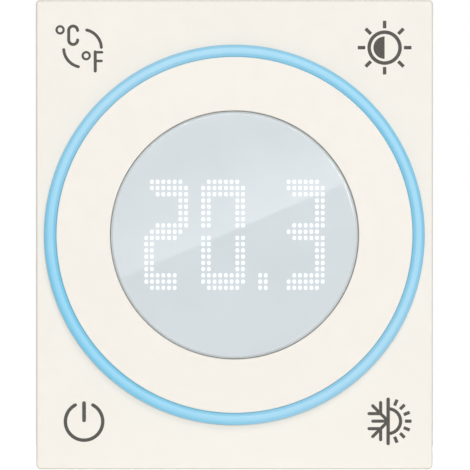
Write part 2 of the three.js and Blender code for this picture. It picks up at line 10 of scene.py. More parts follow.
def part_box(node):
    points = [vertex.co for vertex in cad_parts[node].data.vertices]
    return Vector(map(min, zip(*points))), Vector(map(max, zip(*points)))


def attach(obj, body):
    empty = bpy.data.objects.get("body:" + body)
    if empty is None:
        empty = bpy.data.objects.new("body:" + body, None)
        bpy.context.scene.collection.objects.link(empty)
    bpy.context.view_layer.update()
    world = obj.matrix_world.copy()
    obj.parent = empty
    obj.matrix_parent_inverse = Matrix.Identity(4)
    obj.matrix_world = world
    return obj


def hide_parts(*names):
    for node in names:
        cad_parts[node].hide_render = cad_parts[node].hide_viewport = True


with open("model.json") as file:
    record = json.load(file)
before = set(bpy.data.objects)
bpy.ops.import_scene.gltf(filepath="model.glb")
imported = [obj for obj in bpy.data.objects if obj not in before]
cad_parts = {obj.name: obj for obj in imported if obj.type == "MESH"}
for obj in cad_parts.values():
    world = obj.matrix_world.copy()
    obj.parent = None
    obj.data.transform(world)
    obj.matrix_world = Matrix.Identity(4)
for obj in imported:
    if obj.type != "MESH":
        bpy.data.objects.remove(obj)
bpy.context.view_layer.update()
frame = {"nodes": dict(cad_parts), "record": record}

MM = 0.001
scene = bpy.context.scene

# ---------------------------------------------------------------- places read from the frame

plate_low, plate_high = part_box("front_cover")
face_low, face_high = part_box("dial_face")
ring_low, ring_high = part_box("dial_light_ring")
lens_low, lens_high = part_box("display_lens")
shoulder_low, shoulder_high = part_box("chassis")
housing_low, housing_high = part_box("rear_housing")

plate_front = plate_low.y
plate_width = plate_high.x - plate_low.x
plate_height = plate_high.z - plate_low.z
body_width = housing_high.x - housing_low.x
body_height = housing_high.z - housing_low.z

# ---------------------------------------------------------------- shared sizes

wall = 1.4 * MM
gap = 0.05 * MM              # between pieces that touch
past = 1 * MM                # reach of a cutting tool past the surface
overlap = 0.5 * MM           # reach of a joined solid into its neighbour
corner_radius = 0.5 * MM     # outer corners of the plate and the shoulder
cavity_corner = 0.6 * MM     # inner corners of the cover, which the chassis rim follows
body_corner = 1 * MM         # outer corners of the housing and the chassis neck
vent_opening = 1 * MM        # short side of every vent
vent_corner = 0.45 * MM
aperture_radius = 18.7 * MM
recess_radius = ring_high.x - 0.7 * MM
recess_floor = plate_front + 0.4 * MM

# Hundredths of a millimetre off the CAD model, for the widths of the bands in the photograph.
window_radius = lens_high.x - 0.02 * MM
lens_radius = window_radius - gap
face_outer = face_high.x + 0.03 * MM
ring_inner = face_outer + 0.03 * MM
ring_outer = ring_high.x - 0.05 * MM


def centre_of(node):
    """The middle of a CAD node's box."""
    low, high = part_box(node)
    return (low + high) / 2


long_screws = [centre_of(f"housing_screw_{number}") for number in range(1, 5)]
terminals = {number: centre_of(f"terminal_screw_{number}") for number in range(1, 7)}


# ---------------------------------------------------------------- camera and light

def aimed(obj, place, target):
    """Puts a camera or lamp into the scene, facing the target."""
    obj.location = place
    obj.rotation_euler = (Vector(target) - Vector(place)).to_track_quat("-Z", "Y").to_euler()
    scene.collection.objects.link(obj)
    return obj


def add_camera():
    """A long lens square on to the plate, from one degree above it."""
    distance = 600 * MM
    frame_width = 53.03 * MM
    rise = math.radians(1.0)
    data = bpy.data.cameras.new("camera")
    data.sensor_width = 36
    data.lens = data.sensor_width * distance / frame_width
    aim = Vector((0.06 * MM, plate_front, -0.01 * MM))
    place = aim + Vector((0, -distance * math.cos(rise), distance * math.sin(rise)))
    scene.camera = aimed(bpy.data.objects.new("camera", data), place, aim)


def area_light(name, place, width, height, power):
    """A soft box aimed at the frame's origin: place and size in metres, power in watts."""
    data = bpy.data.lights.new(name, "AREA")
    data.shape = "RECTANGLE"
    data.size = width
    data.size_y = height
    data.energy = power
    aimed(bpy.data.objects.new(name, data), place, (0, 0, 0))


def add_lights():
    area_light("front_key", (0.03, -1.15, 0.20), width=0.34, height=0.26, power=4.97)
    area_light("low_key", (0.13, -1.15, 0.05), width=0.14, height=0.10, power=2.4)
    area_light("top_key", (0.14, -0.55, 0.50), width=0.30, height=0.30, power=1.0)
    area_light("rear_left", (-0.35, 0.90, 0.40), width=0.6, height=0.6, power=3.6)
    area_light("rear_right", (0.40, 0.90, 0.30), width=0.6, height=0.6, power=2.8)
    add_reflection_card()


def add_reflection_card():
    """A small card behind the camera that the window mirrors as a slanted, fading band of gloss.

    Its beam is a narrow cone tilted up past the window, so the gloss is brightest along the card's
    lower edge and fades out above it.
    """
    distance = 750 * MM
    width, height = 90 * MM, 70 * MM
    slope = math.radians(23)
    across = Vector((-math.sin(slope), 0, math.cos(slope)))
    edge = Vector((0, -distance, -11.8 * MM))
    tilt = math.radians(6.9)
    data = bpy.data.lights.new("reflection_card", "AREA")
    data.shape = "RECTANGLE"
    data.size = width
    data.size_y = height
    data.energy = 1.45e-3
    data.spread = 2 * math.radians(7.0)
    card = bpy.data.objects.new("reflection_card", data)
    card.location = edge + across * height / 2
    facing = Vector((0, math.cos(tilt), 0)) + across * math.sin(tilt)
    side = facing.cross(across).normalized()
    up = side.cross(facing)
    card.rotation_euler = Matrix((side, up, -facing)).transposed().to_euler()
    scene.collection.objects.link(card)


def add_world():
    """A plain white background that lights the object a little from every side."""
    world = bpy.data.worlds.new("studio")
    world.use_nodes = True
    scene.world = world
    nodes, links = world.node_tree.nodes, world.node_tree.links
    seen = nodes["Background"]
    seen.inputs["Color"].default_value = (1, 1, 1, 1)
    seen.inputs["Strength"].default_value = 1.0
    fill = nodes.new("ShaderNodeBackground")
    fill.inputs["Color"].default_value = (1, 1, 1, 1)
    fill.inputs["Strength"].default_value = 0.22
    path = nodes.new("ShaderNodeLightPath")
    mix = nodes.new("ShaderNodeMixShader")
    links.new(path.outputs["Is Camera Ray"], mix.inputs["Fac"])
    links.new(fill.outputs["Background"], mix.inputs[1])
    links.new(seen.outputs["Background"], mix.inputs[2])
    links.new(mix.outputs["Shader"], nodes["World Output"].inputs["Surface"])
    scene.view_settings.view_transform = "Standard"


# ---------------------------------------------------------------- materials

def srgb(red, green, blue):
    """A colour given in the usual 0 to 255 steps, as the renderer's linear one."""
    def linear(step):
        value = step / 255
        return value / 12.92 if value <= 0.04045 else ((value + 0.055) / 1.055) ** 2.4
    return (linear(red), linear(green), linear(blue), 1)


def shaded(colour, factor):
    """The colour with its brightness scaled."""
    return tuple(min(1, channel * factor) for channel in colour[:3]) + (1,)


class Finish:
    """A node material with object coordinates and a principled shader, built up step by step."""

    def __init__(self, name, roughness=0.5, metallic=0.0, coat=0.0):
        self.material = bpy.data.materials.new(name)
        self.material.use_nodes = True
        self.nodes = self.material.node_tree.nodes
        self.links = self.material.node_tree.links
        self.shader = self.nodes["Principled BSDF"]
        self.shader.inputs["Roughness"].default_value = roughness
        self.shader.inputs["Metallic"].default_value = metallic
        self.shader.inputs["Coat Weight"].default_value = coat
        self.coordinates = self.nodes.new("ShaderNodeTexCoord")
        self.height = None

    def noise(self, size, detail=3.0, stretch=(1, 1, 1)):
        """Soft noise with features of about this size in metres."""
        mapping = self.nodes.new("ShaderNodeMapping")
        mapping.inputs["Scale"].default_value = stretch
        texture = self.nodes.new("ShaderNodeTexNoise")
        texture.inputs["Scale"].default_value = 1 / size
        texture.inputs["Detail"].default_value = detail
        self.links.new(self.coordinates.outputs["Object"], mapping.inputs["Vector"])
        self.links.new(mapping.outputs["Vector"], texture.inputs["Vector"])
        return texture.outputs["Fac"]

    def ramp(self, value, stops):
        node = self.nodes.new("ShaderNodeValToRGB")
        elements = node.color_ramp.elements
        while len(elements) < len(stops):
            elements.new(0.5)
        for element, (position, colour) in zip(elements, stops):
            element.position = position
            element.color = colour
        self.links.new(value, node.inputs["Fac"])
        return node.outputs["Color"]

    def blended(self, value, low, high):
        return self.ramp(value, [(0.3, low), (0.7, high)])

    def colour(self, output):
        self.links.new(output, self.shader.inputs["Base Color"])

    def rough(self, value, low, high):
        node = self.nodes.new("ShaderNodeMapRange")
        node.inputs["To Min"].default_value = low
        node.inputs["To Max"].default_value = high
        self.links.new(value, node.inputs["Value"])
        self.links.new(node.outputs["Result"], self.shader.inputs["Roughness"])

    def bump(self, value, depth, strength=1.0):
        """Stacks another layer of relief, its depth in metres, on those before it."""
        node = self.nodes.new("ShaderNodeBump")
        node.inputs["Distance"].default_value = depth
        node.inputs["Strength"].default_value = strength
        self.links.new(value, node.inputs["Height"])
        if self.height is not None:
            self.links.new(self.height, node.inputs["Normal"])
        self.height = node.outputs["Normal"]
        self.links.new(self.height, self.shader.inputs["Normal"])

    def glow(self, output, strength):
        self.links.new(output, self.shader.inputs["Emission Color"])
        self.shader.inputs["Emission Strength"].default_value = strength


def moulded(name, colour, roughness, grain, relief, mottle=0.03, coat=0.0):
    """Moulded plastic: a fine spark-eroded grain, faint cloudiness and uneven sheen."""
    finish = Finish(name, roughness, coat=coat)
    cloud = finish.noise(9 * MM, 2)
    finish.colour(finish.blended(cloud, shaded(colour, 1 - mottle), colour))
    finish.rough(finish.noise(1.6 * MM, 4), roughness - 0.06, roughness + 0.08)
    finish.bump(finish.noise(grain, 2), relief)
    finish.bump(finish.noise(4 * MM, 1), relief * 1.5, 0.4)
    return finish.material


def metal(name, colour, roughness, brushed=(1, 1, 1)):
    """Plated or rolled metal with fine drawing lines and patchy tarnish."""
    finish = Finish(name, roughness, metallic=1.0)
    patches = finish.noise(1.2 * MM, 4)
    finish.colour(finish.blended(patches, shaded(colour, 0.78), colour))
    finish.rough(finish.noise(0.5 * MM, 3), roughness - 0.08, roughness + 0.16)
    finish.bump(finish.noise(0.15 * MM, 3, brushed), 0.008 * MM)
    return finish.material


def opal_ring():
    """Opal acrylic lit from behind by lamps: brightest across its front and in two broad arcs, with
    painted light toward the upper right, painted shade toward the lower left and painted shade on the
    dimmed flanks.
    """
    finish = Finish("opal_light_ring", 0.42)
    cloud = finish.noise(3 * MM, 2)
    finish.colour(finish.blended(cloud, srgb(124, 128, 126), srgb(128, 132, 130)))
    lying = finish.nodes.new("ShaderNodeMapping")
    lying.inputs["Rotation"].default_value = (math.radians(-90), 0, 0)
    around = finish.nodes.new("ShaderNodeTexGradient")
    around.gradient_type = "RADIAL"
    finish.links.new(finish.coordinates.outputs["Object"], lying.inputs["Vector"])
    finish.links.new(lying.outputs["Vector"], around.inputs["Vector"])
    # The glow rises in two broad arcs round the ring. On top of them sits painted light toward the
    # upper right and painted shade toward the lower left.
    bright_arcs, painted_lit_side = math.radians(123), math.radians(40)
    mean_glow, swing = (0.066, 0.383, 0.590), (0.040, 0.015, 0)
    steps = 16
    stops = []
    for step in range(steps + 1):
        angle = 2 * math.pi * (step / steps - 0.5)
        arc_glow_and_painted_side = math.cos(2 * (angle - bright_arcs)) + 0.4 * math.cos(angle - painted_lit_side)
        lit = [mean + part * arc_glow_and_painted_side for mean, part in zip(mean_glow, swing)]
        stops.append((step / steps, (*lit, 1)))
    finish.glow(finish.ramp(around.outputs["Fac"], stops), 1.0)
    # The glow is dimmed on the bead's flanks. This keeps it off the plate and paints the flanks darker
    # than the front as painted shade.
    facing = finish.nodes.new("ShaderNodeSeparateXYZ")
    glow_and_flank_shade = finish.nodes.new("ShaderNodeMapRange")
    glow_and_flank_shade.interpolation_type = "SMOOTHSTEP"
    glow_and_flank_shade.inputs["From Min"].default_value = 0.0
    glow_and_flank_shade.inputs["From Max"].default_value = -0.60
    glow_and_flank_shade.inputs["To Min"].default_value = 0.35
    glow_and_flank_shade.inputs["To Max"].default_value = 1.0
    finish.links.new(finish.coordinates.outputs["Normal"], facing.inputs["Vector"])
    finish.links.new(facing.outputs["Y"], glow_and_flank_shade.inputs["Value"])
    finish.links.new(glow_and_flank_shade.outputs["Result"], finish.shader.inputs["Emission Strength"])
    finish.bump(finish.noise(0.3 * MM, 2), 0.002 * MM)
    return finish.material


def window_glass():
    """The pale grey-blue window, polished so that it mirrors the reflection card."""
    finish = Finish("display_window", 0.01)
    cloud = finish.noise(7 * MM, 2)
    finish.colour(finish.blended(cloud, srgb(213, 220, 224), srgb(217, 224, 228)))
    finish.rough(finish.noise(2 * MM, 3), 0.0, 0.02)
    return finish.material


def lit_dots():
    finish = Finish("lit_dots", 0.3)
    cloud = finish.noise(0.6 * MM, 1)
    finish.colour(finish.blended(cloud, srgb(226, 233, 237), srgb(236, 242, 245)))
    finish.glow(finish.blended(cloud, srgb(240, 246, 250), srgb(255, 255, 255)), 0.1)
    return finish.material


def printed_ink():
    finish = Finish("printed_ink", 0.6)
    finish.shader.inputs["Specular IOR Level"].default_value = 0.3
    cloud = finish.noise(0.25 * MM, 3)
    finish.colour(finish.blended(cloud, srgb(76, 73, 69), srgb(90, 87, 82)))
    finish.bump(finish.noise(0.08 * MM, 2), 0.003 * MM)
    return finish.material


def solder_mask():
    """Green circuit board lacquer over copper tracks."""
    finish = Finish("solder_mask", 0.3, coat=0.4)
    tracks = finish.nodes.new("ShaderNodeTexBrick")
    tracks.inputs["Scale"].default_value = 1 / (3 * MM)
    tracks.inputs["Mortar Size"].default_value = 0.06
    finish.links.new(finish.coordinates.outputs["Object"], tracks.inputs["Vector"])
    greens = [(0.2, srgb(24, 92, 60)), (0.8, srgb(52, 126, 84))]
    finish.colour(finish.ramp(tracks.outputs["Fac"], greens))
    finish.bump(tracks.outputs["Fac"], 0.02 * MM)
    return finish.material


finishes = {
    "cover_cream": moulded("cover_cream", srgb(241, 236, 227), 0.55, 0.22 * MM, 0.006 * MM, 0.015),
    "dial_cream": moulded("dial_cream", srgb(238, 233, 224), 0.48, 0.18 * MM, 0.003 * MM, 0.01),
    "light_ring": opal_ring(),
    "window_lens": window_glass(),
    "lit_dots": lit_dots(),
    "ink": printed_ink(),
    "white_plastic": moulded("white_plastic", srgb(232, 230, 222), 0.5, 0.25 * MM, 0.006 * MM),
    "acetal": moulded("acetal", srgb(240, 238, 232), 0.38, 0.3 * MM, 0.003 * MM),
    "housing_grey": moulded("housing_grey", srgb(196, 198, 195), 0.52, 0.2 * MM, 0.010 * MM),
    "black_plastic": moulded("black_plastic", srgb(34, 35, 37), 0.5, 0.2 * MM, 0.006 * MM),
    "relay_blue": moulded("relay_blue", srgb(40, 92, 160), 0.35, 0.3 * MM, 0.003 * MM, coat=0.2),
    "fuse_brown": moulded("fuse_brown", srgb(66, 48, 38), 0.4, 0.3 * MM, 0.003 * MM),
    "amber_bead": moulded("amber_bead", srgb(188, 112, 34), 0.25, 0.4 * MM, 0.004 * MM, coat=0.5),
    "led_white": moulded("led_white", srgb(236, 236, 230), 0.3, 0.2 * MM, 0.003 * MM),
    "diffuser": moulded("diffuser", srgb(214, 220, 224), 0.3, 0.3 * MM, 0.003 * MM),
    "circuit_board": solder_mask(),
    "ferrite": metal("laminated_core", srgb(84, 84, 86), 0.55, (1, 8, 1)),
    "steel": metal("zinc_plated_steel", srgb(198, 199, 200), 0.32),
    "plated_steel": metal("zinc_plated_screw", srgb(205, 204, 198), 0.3),
    "silver_metal": metal("tinned_sheet", srgb(205, 206, 206), 0.34, (1, 1, 6)),
    "brass": metal("brass_strip", srgb(214, 178, 96), 0.3, (1, 1, 6)),
}


# ---------------------------------------------------------------- mesh building

smooth_below = math.radians(32)


def new_object(name, mesh):
    obj = bpy.data.objects.new(name, mesh)
    scene.collection.objects.link(obj)
    return obj


def object_from_bmesh(name, shape):
    bmesh.ops.recalc_face_normals(shape, faces=shape.faces)
    mesh = bpy.data.meshes.new(name)
    shape.to_mesh(mesh)
    shape.free()
    return new_object(name, mesh)


def baked(obj):
    """Replaces the object's mesh by what its modifiers make of it."""
    graph = bpy.context.evaluated_depsgraph_get()
    graph.update()
    mesh = bpy.data.meshes.new_from_object(obj.evaluated_get(graph))
    obj.modifiers.clear()
    obj.data = mesh


def filleted(corners, steps=5):
    """A closed outline from (u, v, radius) corners, each corner rounded by its radius."""
    outline = []
    for index, (u, v, radius) in enumerate(corners):
        here = Vector((u, v))
        before = Vector(corners[index - 1][:2]) - here
        after = Vector(corners[(index + 1) % len(corners)][:2]) - here
        if radius <= 0:
            outline.append(here)
            continue
        turn = before.angle(after)
        reach = radius / math.tan(turn / 2)
        inward = (before.normalized() + after.normalized()).normalized()
        middle = here + inward * radius / math.sin(turn / 2)
        start = here + before.normalized() * reach - middle
        sweep = start.angle_signed(here + after.normalized() * reach - middle)
        for step in range(steps + 1):
            outline.append(middle + Matrix.Rotation(-sweep * step / steps, 2) @ start)
    return [tuple(point) for point in outline]


def rectangle(width, height, radius, centre=(0, 0), steps=6):
    x, z = width / 2, height / 2
    corners = [(-x, -z), (x, -z), (x, z), (-x, z)]
    return filleted([(centre[0] + u, centre[1] + v, radius) for u, v in corners], steps)


def circle(radius, centre=(0, 0), steps=96):
    angles = [2 * math.pi * step / steps for step in range(steps)]
    return [(centre[0] + radius * math.cos(a), centre[1] + radius * math.sin(a)) for a in angles]


def revolved(name, outline, steps=256):
    """A body turned about the Y axis from a closed outline of (radius, y) points."""
    shape = bmesh.new()
    on_axis = 1e-7
    rings = []
    for radius, y in outline:
        if radius < on_axis:
            rings.append([shape.verts.new((0, y, 0))] * steps)
            continue
        angles = [2 * math.pi * step / steps for step in range(steps)]
        rings.append([shape.verts.new((radius * math.cos(a), y, radius * math.sin(a))) for a in angles])
    for ring, following in zip(rings, rings[1:] + rings[:1]):
        for step in range(steps):
            after = (step + 1) % steps
            corners = [ring[step], ring[after], following[after], following[step]]
            distinct = list(dict.fromkeys(corners))
            if len(distinct) > 2:
                shape.faces.new(distinct)
    return object_from_bmesh(name, shape)


def slab(name, outline, front, back, edge=0.0, holes=()):
    """A flat part between two Y planes with rounded edges, from outlines in X and Z."""
    curve = bpy.data.curves.new(name, "CURVE")
    curve.dimensions = "2D"
    curve.fill_mode = "BOTH"
    curve.extrude = (back - front) / 2 - edge
    curve.bevel_depth = edge
    curve.bevel_resolution = 3
    curve.offset = -edge
    for loop in [outline, *holes]:
        spline = curve.splines.new("POLY")
        spline.points.add(len(loop) - 1)
        for point, (x, z) in zip(spline.points, loop):
            point.co = (x, z, 0, 1)
        spline.use_cyclic_u = True
    drawn = new_object(name, curve)
    graph = bpy.context.evaluated_depsgraph_get()
    graph.update()
    mesh = bpy.data.meshes.new_from_object(drawn.evaluated_get(graph))
    bpy.data.objects.remove(drawn)
    bpy.data.curves.remove(curve)
    shape = bmesh.new()
    shape.from_mesh(mesh)
    bpy.data.meshes.remove(mesh)
    middle = (front + back) / 2
    for vertex in shape.verts:
        x, z, y = vertex.co
        vertex.co = (x, middle + y, z)
    bmesh.ops.remove_doubles(shape, verts=shape.verts, dist=0.0005 * MM)
    return object_from_bmesh(name, shape)


def box(name, low, high):
    shape = bmesh.new()
    bmesh.ops.create_cube(shape, size=1)
    low, high = Vector(low), Vector(high)
    for vertex in shape.verts:
        vertex.co = [low[i] + (vertex.co[i] + 0.5) * (high[i] - low[i]) for i in range(3)]
    return object_from_bmesh(name, shape)


def rod(name, start, end, radius):
    """A cylinder between two points."""
    steps = 48
    start, end = Vector(start), Vector(end)
    shape = bmesh.new()
    turn = (end - start).to_track_quat("Z", "Y").to_matrix().to_4x4()
    lying = Matrix.Translation((start + end) / 2) @ turn
    bmesh.ops.create_cone(shape, cap_ends=True, segments=steps, radius1=radius, radius2=radius,
                          depth=(end - start).length, matrix=lying)
    return object_from_bmesh(name, shape)


def swapped(obj, first, second):
    """Exchanges two axes of a body, and turns its faces the right way out again."""
    exchange = Matrix.Identity(4)
    exchange[first], exchange[second] = exchange[second].copy(), exchange[first].copy()
    obj.data.transform(exchange)
    obj.data.flip_normals()
    return obj


def combined(obj, others, operation):
    """Joins other solids on, or cuts them away, and removes them."""
    for other in others:
        modifier = obj.modifiers.new("combine", "BOOLEAN")
        modifier.operation = operation
        modifier.solver = "EXACT"
        modifier.object = other
        baked(obj)
        bpy.data.objects.remove(other)
    return obj


def cut(obj, *tools):
    return combined(obj, tools, "DIFFERENCE")


def joined(obj, *others):
    return combined(obj, others, "UNION")


def softened(obj, width):
    """Rounds the sharp edges left by cutting and joining."""
    shape = bmesh.new()
    shape.from_mesh(obj.data)
    bmesh.ops.remove_doubles(shape, verts=shape.verts, dist=0.002 * MM)
    bmesh.ops.dissolve_limit(shape, angle_limit=math.radians(0.8), verts=shape.verts, edges=shape.edges)
    shape.to_mesh(obj.data)
    shape.free()
    modifier = obj.modifiers.new("soften", "BEVEL")
    modifier.width = width
    modifier.segments = 3
    modifier.limit_method = "ANGLE"
    modifier.angle_limit = math.radians(35)
    modifier.use_clamp_overlap = True
    modifier.harden_normals = True
    baked(obj)


def closed_up(obj):
    """Merges the points that cutting leaves on top of each other, and drops faces without area."""
    apart = 0.0005 * MM
    shape = bmesh.new()
    shape.from_mesh(obj.data)
    bmesh.ops.remove_doubles(shape, verts=shape.verts, dist=apart)
    bmesh.ops.dissolve_degenerate(shape, dist=apart, edges=shape.edges)
    shape.to_mesh(obj.data)
    shape.free()


def piece(obj, finish, body, replaces=()):
    """Finishes a built object: material, shading, body, and hides the CAD nodes it stands for."""
    closed_up(obj)
    obj.data.materials.clear()
    obj.data.materials.append(finishes[finish])
    obj.data.shade_smooth()
    obj.data.set_sharp_from_angle(angle=smooth_below)
    weighted = obj.modifiers.new("flat_faces_stay_flat", "WEIGHTED_NORMAL")
    weighted.keep_sharp = True
    baked(obj)
    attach(obj, body)
    if replaces:
        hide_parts(*replaces)


# ---------------------------------------------------------------- cover and printed symbols

def vent_tool(outline, face, axis):
    """The solid that cuts one vent: the wall's outer face stands at `face` on the given axis."""
    reach = 2 * MM
    return swapped(slab("vent", outline, face - reach, face + reach), axis, 1)


def build_cover():
    back = plate_high.y
    edge_radius = 0.28 * MM
    outline = rectangle(plate_width, plate_height, corner_radius)
    cover = slab("cover_shell", outline, plate_front, back, edge_radius)
    inside = rectangle(plate_width - 2 * wall, plate_height - 2 * wall, cavity_corner)
    cut(cover, slab("cavity", inside, plate_front + wall, back + past))
    cut(cover, slab("aperture", circle(aperture_radius), plate_front - past, plate_front + wall + past))
    cut(cover, slab("recess", circle(recess_radius), plate_front - past, recess_floor))
    vent_width, vent_pitch, vent_y = 4.4 * MM, 6.4 * MM, -4.7 * MM
    for column in range(-2, 3):
        for end in (plate_low.z, plate_high.z):
            place = (column * vent_pitch, vent_y)
            opening = rectangle(vent_width, vent_opening, vent_corner, place)
            cut(cover, vent_tool(opening, end, 2))
    piece(cover, "cover_cream", "insert", ["front_cover"])


def ribbon(points, width):
    """The outline of a pen stroke along a line of points: even width, mitred corners, round ends."""
    cap_steps = 8
    points = [Vector(point) for point in points]
    sides = {1: [], -1: []}
    for index, point in enumerate(points):
        before = points[max(index - 1, 0)]
        after = points[min(index + 1, len(points) - 1)]
        arriving = (point - before).normalized()
        leaving = (after - point).normalized()
        along = (arriving + leaving).normalized()
        reach = width / 2 / max(along.dot(arriving), along.dot(leaving))
        normal = Vector((-along.y, along.x))
        for side in sides:
            sides[side].append(point + normal * side * reach)

    def cap(centre, start):
        arm = start - centre
        turns = [Matrix.Rotation(math.pi * step / cap_steps, 2) for step in range(1, cap_steps)]
        return [centre + turn @ arm for turn in turns]

    end_cap = cap(points[-1], sides[1][-1])
    start_cap = cap(points[0], sides[-1][0])
    end_cap = [points[-1] * 2 - p for p in reversed(end_cap)]
    start_cap = [points[0] * 2 - p for p in reversed(start_cap)]
    outline = sides[1] + end_cap + sides[-1][::-1] + start_cap
    return [tuple(point) for point in outline]


def arc(centre, radius, start, end, steps=40):
    angles = [math.radians(start + (end - start) * step / steps) for step in range(steps + 1)]
    return [(centre[0] + radius * math.cos(a), centre[1] + radius * math.sin(a)) for a in angles]


def bar(centre, angle, inner, outer, width):
    """A short ray with nearly square ends, pointing away from the centre."""
    turn = Matrix.Rotation(math.radians(angle), 2)
    middle = ((inner + outer) / 2, 0)
    corner = 0.06
    corners = rectangle(outer - inner, width, corner, middle, 3)
    return [tuple(Vector(centre) + turn @ Vector(corner)) for corner in corners]


ink_front = plate_front - 0.02 * MM
ink_back = plate_front + 0.01 * MM


def marks(to_metres, front, back, strokes=(), filled=(), rings=()):
    """Flat marks as one body: pen strokes as (points, width), filled outlines and rings.

    `to_metres` turns points of a drawing in millimetres into X and Z in metres.
    """
    bodies = [slab("mark", to_metres(ribbon(points, width)), front, back) for points, width in strokes]
    bodies += [slab("mark", to_metres(outline), front, back) for outline in filled]
    for middle, radius, width in rings:
        outer = to_metres(circle(radius + width / 2, middle, 64))
        inner = to_metres(circle(radius - width / 2, middle, 64))
        bodies.append(slab("mark", outer, front, back, holes=[inner]))
    return joined(bodies[0], *bodies[1:])


def printed(name, centre, **drawing):
    """One printed symbol, drawn in millimetres from its centre."""
    def to_metres(points):
        return [((centre[0] + x) * MM, (centre[1] + z) * MM) for x, z in points]

    symbol = marks(to_metres, ink_front, ink_back, **drawing)
    symbol.name = name
    piece(symbol, "ink", "insert")


def build_symbols():
    c_left, c_right, c_top, c_bottom = -1.56, -0.56, 2.51, 0.44
    c_radius = (c_right - c_left) / 2
    c_middle = (c_left + c_right) / 2
    letter_c = (
        arc((c_middle, c_top - c_radius), c_radius, 0, 180, 16)
        + arc((c_middle, c_bottom + c_radius), c_radius, 180, 360, 16))
    printed("symbol_units", (-17.13, 21.04), strokes=[
        (arc((0, 0), 2.12, 3, 77), 0.34),
        (arc((0, 0), 2.12, 184, 257), 0.34),
        (letter_c, 0.34),
        ([(1.43, -0.40), (1.43, -2.55)], 0.35),
        ([(1.43, -0.44), (2.20, -0.44)], 0.29),
        ([(1.43, -1.42), (2.14, -1.42)], 0.29),
    ], rings=[((-2.53, 2.08), 0.40, 0.26), ((0.41, -0.83), 0.40, 0.26)])

    half_disc = arc((0, 0), 1.26, 90, 270)
    sun_rays = [bar((0, 0), 45 * turn, 2.18, 3.03, 0.39) for turn in range(8)]
    printed("symbol_brightness", (16.93, 21.12), filled=[half_disc, *sun_rays],
            rings=[((0, 0), 1.74, 0.40)])

    printed("symbol_power", (-16.98, -21.07), strokes=[
        (arc((0, 0), 2.11, 118, 422, 72), 0.39),
        ([(0, 0.14), (0, 2.08)], 0.43),
    ])

    branch = 0.85
    arms = [([(0, 0), (-1.73, 0)], 0.36)]
    for side in (1, -1):
        elbow = (-branch, side * branch)
        arms += [
            ([(0, 0), (-1.74, side * 1.74)], 0.36),
            ([elbow, (-2.16, side * branch)], 0.36),
            ([elbow, (-branch, side * 2.10)], 0.36),
        ]
    half_sun_rays = [bar((0, 0), 22.5 * turn, 1.90, 2.64, 0.37) for turn in range(-3, 4)]
    printed("symbol_heat_cool", (17.35, -21.03), strokes=[
        ([(0, 2.48), (0, -2.53)], 0.39),
        (arc((0, 0), 1.40, -90, 90), 0.37),
        *arms,
    ], filled=half_sun_rays)


# ---------------------------------------------------------------- dial and window

def build_dial():
    """The cream face with its collar round the window, and the opal ring with its web and skirt."""
    collar_wall, face_thickness = 0.8 * MM, 0.5 * MM
    collar = window_radius + collar_wall
    face_back = face_low.y + face_thickness
    face = revolved("dial_annulus", filleted([
        (window_radius, face_low.y, 0.12 * MM), (face_outer, face_low.y, 0.10 * MM),
        (face_outer, face_back, 0), (collar, face_back, 0),
        (collar, face_high.y, 0), (window_radius, face_high.y, 0),
    ]))
    piece(face, "dial_cream", "dial", ["dial_face"])

    crest_radius = 0.45 * MM
    web_play = 0.2 * MM
    web_inner, web_outer = collar + gap, recess_radius - web_play
    web_front, web_back = face_back + gap, recess_floor - web_play
    bead_back = plate_front - 0.03 * MM
    skirt_inner, skirt_outer = 17.4 * MM, 18.3 * MM
    ring = revolved("light_ring", filleted([
        (web_inner, web_front, 0), (ring_inner, web_front, 0),
        (ring_inner, ring_low.y, crest_radius), (ring_outer, ring_low.y, crest_radius),
        (ring_outer, bead_back, 0.12 * MM), (web_outer, bead_back, 0), (web_outer, web_back, 0),
        (skirt_outer, web_back, 0), (skirt_outer, ring_high.y, 0), (skirt_inner, ring_high.y, 0),
        (skirt_inner, face_high.y, 0), (web_inner, face_high.y, 0),
    ], 8), 320)
    piece(ring, "light_ring", "dial", ["dial_light_ring"])


def build_window():
    bevel = 0.25 * MM
    lens = revolved("display_window", filleted([
        (0, lens_low.y, 0), (lens_radius - bevel, lens_low.y, 0.15 * MM),
        (lens_radius, lens_low.y + bevel, 0.1 * MM), (lens_radius, lens_high.y, 0), (0, lens_high.y, 0),
    ]))
    piece(lens, "window_lens", "insert", ["display_lens"])


BLANK = "________"
GLYPHS = {
    "2": ["_######_", "_#######", "__######"] + ["______##"] * 4 + ["__######", "_######_", "######__"]
         + ["##______"] * 5 + ["######__", "######__", "_#####__"],
    "0": ["_######_", "########", "########"] + ["##____##"] * 5 + [BLANK] + ["##____##"] * 6
         + ["########", "########", "_######_"],
    "3": ["_######_", "_#######", "__######"] + ["______##"] * 4 + ["__######", "_######_", "__######"]
         + ["______##"] * 5 + ["__######", "_#######", "_######_"],
    ".": ["__"] * 15 + ["##"] * 3,
}
READING = [("2", 0), ("0", 10), (".", 20), ("3", 24)]
COLUMNS, ROWS = 32, 18


